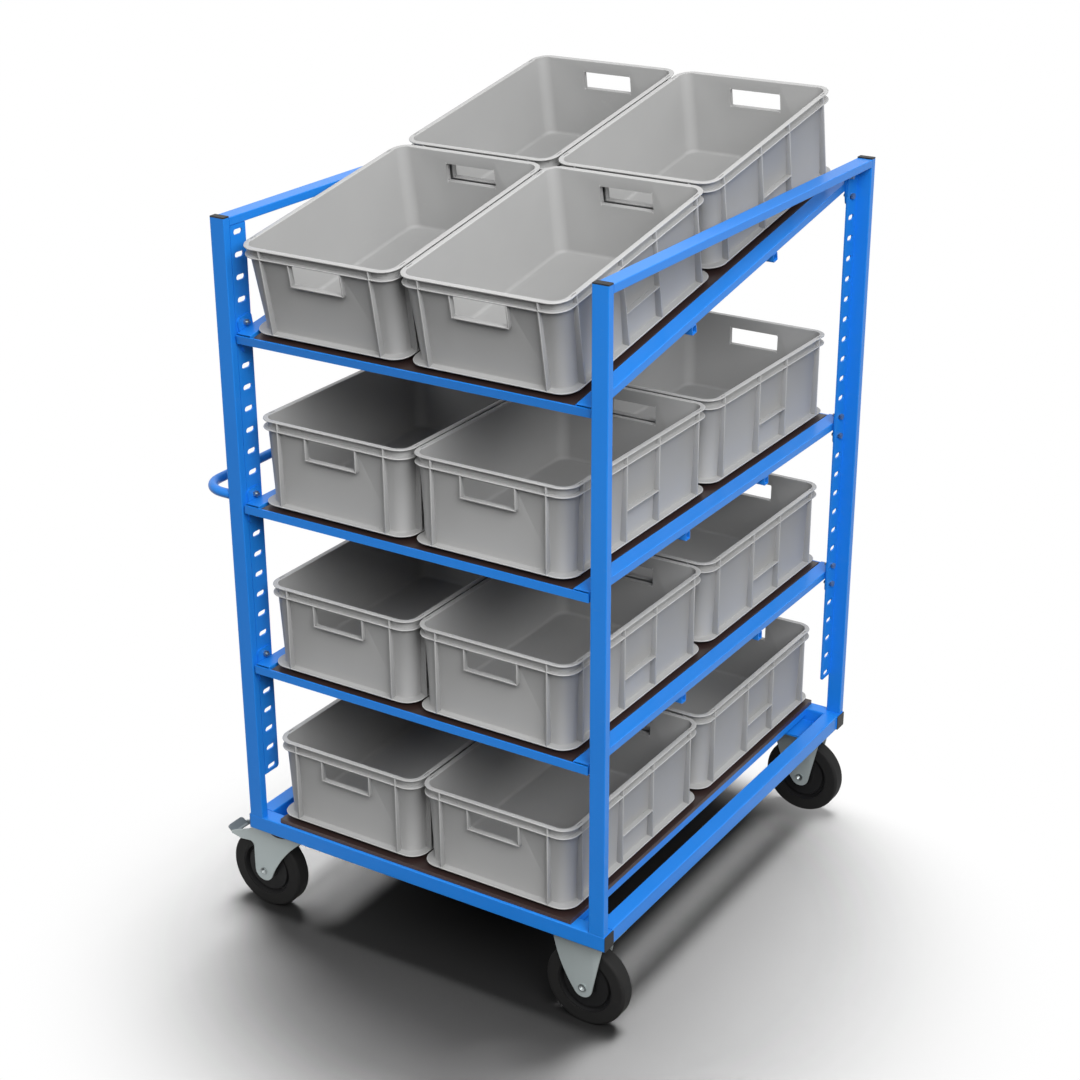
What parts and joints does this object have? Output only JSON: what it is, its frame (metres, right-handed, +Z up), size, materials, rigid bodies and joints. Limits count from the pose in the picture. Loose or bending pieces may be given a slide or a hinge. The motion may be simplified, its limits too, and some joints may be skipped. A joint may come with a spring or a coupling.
{
  "type": "order picking trolley",
  "caption": "Wheeled steel picking trolley with slotted corner posts, plywood shelves, a tilted top shelf, a push handle and open plastic stacking crates.",
  "frame": {"origin": "on the floor, under the middle of the trolley's whole outline", "axes": "+X to the right along the front beam with the push handle on the -X side, +Y to the back where the top shelf is high, +Z up"},
  "size_m": [1.11, 1.231, 1.879],
  "materials": {
    "blue_paint": "smooth semi-gloss powder coat, bright blue",
    "cap_plastic": "fine-grained black moulded plastic",
    "film_plywood": "dark brown film-faced plywood with bare layered edges",
    "zinc_steel": "bright zinc plated pressed sheet",
    "zinc_fasteners": "zinc plated hex fasteners",
    "bearing_seal": "black seal on the swivel race",
    "tyre_rubber": "solid black rubber tread, matt",
    "hub_plastic": "black moulded wheel body",
    "crate_plastic": "mid grey moulded polypropylene, fine grain"
  },
  "bodies": {
    "trolley_frame": {"front_beam": "blue_paint", "back_beam": "blue_paint", "left_beam": "blue_paint", "right_beam": "blue_paint", "front_left_post": "blue_paint", "front_right_post": "blue_paint", "back_left_post": "blue_paint", "back_right_post": "blue_paint", "left_top_rail": "blue_paint", "right_top_rail": "blue_paint", "tube_end_caps": "cap_plastic", "left_slotted_strips": "blue_paint", "right_slotted_strips": "blue_paint", "deck_support_rails": "blue_paint", "castor_mounting_plates": "blue_paint", "base_deck": "film_plywood", "push_handle": "blue_paint", "lower_shelf_frame": "blue_paint", "lower_shelf_deck": "film_plywood", "middle_shelf_frame": "blue_paint", "middle_shelf_deck": "film_plywood", "top_shelf_frame": "blue_paint", "top_shelf_deck": "film_plywood", "shelf_bolts": "zinc_fasteners", "swivel_castor_plates": "zinc_steel", "swivel_bearings": "bearing_seal", "fixed_axles": "zinc_fasteners", "castor_bolts": "zinc_fasteners", "fixed_bracket_front": "zinc_steel", "fixed_bracket_back": "zinc_steel"},
    "front_swivel_fork": {"swivel_fork_front": "zinc_steel", "swivel_axle_front": "zinc_fasteners"},
    "front_swivel_wheel": {"swivel_tyre_front": "tyre_rubber", "swivel_hub_front": "hub_plastic"},
    "front_fixed_wheel": {"fixed_tyre_front": "tyre_rubber", "fixed_hub_front": "hub_plastic"},
    "front_brake_pedal": {"brake_pedal_front": "zinc_steel"},
    "back_swivel_fork": {"swivel_fork_back": "zinc_steel", "swivel_axle_back": "zinc_fasteners"},
    "back_swivel_wheel": {"swivel_tyre_back": "tyre_rubber", "swivel_hub_back": "hub_plastic"},
    "back_fixed_wheel": {"fixed_tyre_back": "tyre_rubber", "fixed_hub_back": "hub_plastic"},
    "back_brake_pedal": {"brake_pedal_back": "zinc_steel"},
    "crate_base_front_left": {"crate_base_front_left": "crate_plastic"},
    "crate_base_front_right": {"crate_base_front_right": "crate_plastic"},
    "crate_base_back_left": {"crate_base_back_left": "crate_plastic"},
    "crate_base_back_right": {"crate_base_back_right": "crate_plastic"},
    "crate_lower_front_left": {"crate_lower_front_left": "crate_plastic"},
    "crate_lower_front_right": {"crate_lower_front_right": "crate_plastic"},
    "crate_lower_back_left": {"crate_lower_back_left": "crate_plastic"},
    "crate_lower_back_right": {"crate_lower_back_right": "crate_plastic"},
    "crate_middle_front_left": {"crate_middle_front_left": "crate_plastic"},
    "crate_middle_front_right": {"crate_middle_front_right": "crate_plastic"},
    "crate_middle_back_left": {"crate_middle_back_left": "crate_plastic"},
    "crate_middle_back_right": {"crate_middle_back_right": "crate_plastic"},
    "crate_top_front_left": {"crate_top_front_left": "crate_plastic"},
    "crate_top_front_right": {"crate_top_front_right": "crate_plastic"},
    "crate_top_back_left": {"crate_top_back_left": "crate_plastic"},
    "crate_top_back_right": {"crate_top_back_right": "crate_plastic"}
  },
  "joints": [
    {"name": "front_castor_swivel", "type": "hinge", "parent": "trolley_frame", "child": "front_swivel_fork", "pos_m": [-0.388, -0.54084, 0.235], "axis": [0, 0, 1], "continuous": true},
    {"name": "front_swivel_wheel_spin", "type": "hinge", "parent": "front_swivel_fork", "child": "front_swivel_wheel", "pos_m": [-0.443, -0.54084, 0.1], "axis": [0, 1, 0], "continuous": true},
    {"name": "front_brake_pedal_press", "type": "hinge", "parent": "front_swivel_fork", "child": "front_brake_pedal", "pos_m": [-0.447, -0.54084, 0.189], "axis": [0, -1, 0], "range_deg": [0, 10]},
    {"name": "front_fixed_wheel_spin", "type": "hinge", "parent": "trolley_frame", "child": "front_fixed_wheel", "pos_m": [0.455, -0.54084, 0.1], "axis": [0, 1, 0], "continuous": true},
    {"name": "back_castor_swivel", "type": "hinge", "parent": "trolley_frame", "child": "back_swivel_fork", "pos_m": [-0.388, 0.54716, 0.235], "axis": [0, 0, 1], "continuous": true},
    {"name": "back_swivel_wheel_spin", "type": "hinge", "parent": "back_swivel_fork", "child": "back_swivel_wheel", "pos_m": [-0.443, 0.54716, 0.1], "axis": [0, 1, 0], "continuous": true},
    {"name": "back_brake_pedal_press", "type": "hinge", "parent": "back_swivel_fork", "child": "back_brake_pedal", "pos_m": [-0.447, 0.54716, 0.189], "axis": [0, -1, 0], "range_deg": [0, 10]},
    {"name": "back_fixed_wheel_spin", "type": "hinge", "parent": "trolley_frame", "child": "back_fixed_wheel", "pos_m": [0.455, 0.54716, 0.1], "axis": [0, 1, 0], "continuous": true},
    {"name": "crate_base_front_left_pull", "type": "slide", "parent": "trolley_frame", "child": "crate_base_front_left", "axis": [0, -1, 0], "range_m": [0, 0.65]},
    {"name": "crate_base_front_right_pull", "type": "slide", "parent": "trolley_frame", "child": "crate_base_front_right", "axis": [0, -1, 0], "range_m": [0, 0.65]},
    {"name": "crate_base_back_left_pull", "type": "slide", "parent": "trolley_frame", "child": "crate_base_back_left", "axis": [0, 1, 0], "range_m": [0, 0.65]},
    {"name": "crate_base_back_right_pull", "type": "slide", "parent": "trolley_frame", "child": "crate_base_back_right", "axis": [0, 1, 0], "range_m": [0, 0.65]},
    {"name": "crate_lower_front_left_pull", "type": "slide", "parent": "trolley_frame", "child": "crate_lower_front_left", "axis": [0, -1, 0], "range_m": [0, 0.65]},
    {"name": "crate_lower_front_right_pull", "type": "slide", "parent": "trolley_frame", "child": "crate_lower_front_right", "axis": [0, -1, 0], "range_m": [0, 0.65]},
    {"name": "crate_lower_back_left_pull", "type": "slide", "parent": "trolley_frame", "child": "crate_lower_back_left", "axis": [0, 1, 0], "range_m": [0, 0.65]},
    {"name": "crate_lower_back_right_pull", "type": "slide", "parent": "trolley_frame", "child": "crate_lower_back_right", "axis": [0, 1, 0], "range_m": [0, 0.65]},
    {"name": "crate_middle_front_left_pull", "type": "slide", "parent": "trolley_frame", "child": "crate_middle_front_left", "axis": [0, -1, 0], "range_m": [0, 0.65]},
    {"name": "crate_middle_front_right_pull", "type": "slide", "parent": "trolley_frame", "child": "crate_middle_front_right", "axis": [0, -1, 0], "range_m": [0, 0.65]},
    {"name": "crate_middle_back_left_pull", "type": "slide", "parent": "trolley_frame", "child": "crate_middle_back_left", "axis": [0, 1, 0], "range_m": [0, 0.65]},
    {"name": "crate_middle_back_right_pull", "type": "slide", "parent": "trolley_frame", "child": "crate_middle_back_right", "axis": [0, 1, 0], "range_m": [0, 0.65]},
    {"name": "crate_top_front_left_lift", "type": "slide", "parent": "trolley_frame", "child": "crate_top_front_left", "axis": [0, -0.1751, 0.9846], "range_m": [0, 0.25]},
    {"name": "crate_top_front_right_lift", "type": "slide", "parent": "trolley_frame", "child": "crate_top_front_right", "axis": [0, -0.1751, 0.9846], "range_m": [0, 0.25]},
    {"name": "crate_top_back_left_lift", "type": "slide", "parent": "trolley_frame", "child": "crate_top_back_left", "axis": [0, -0.1751, 0.9846], "range_m": [0, 0.25]},
    {"name": "crate_top_back_right_lift", "type": "slide", "parent": "trolley_frame", "child": "crate_top_back_right", "axis": [0, -0.1751, 0.9846], "range_m": [0, 0.25]}
  ]
}
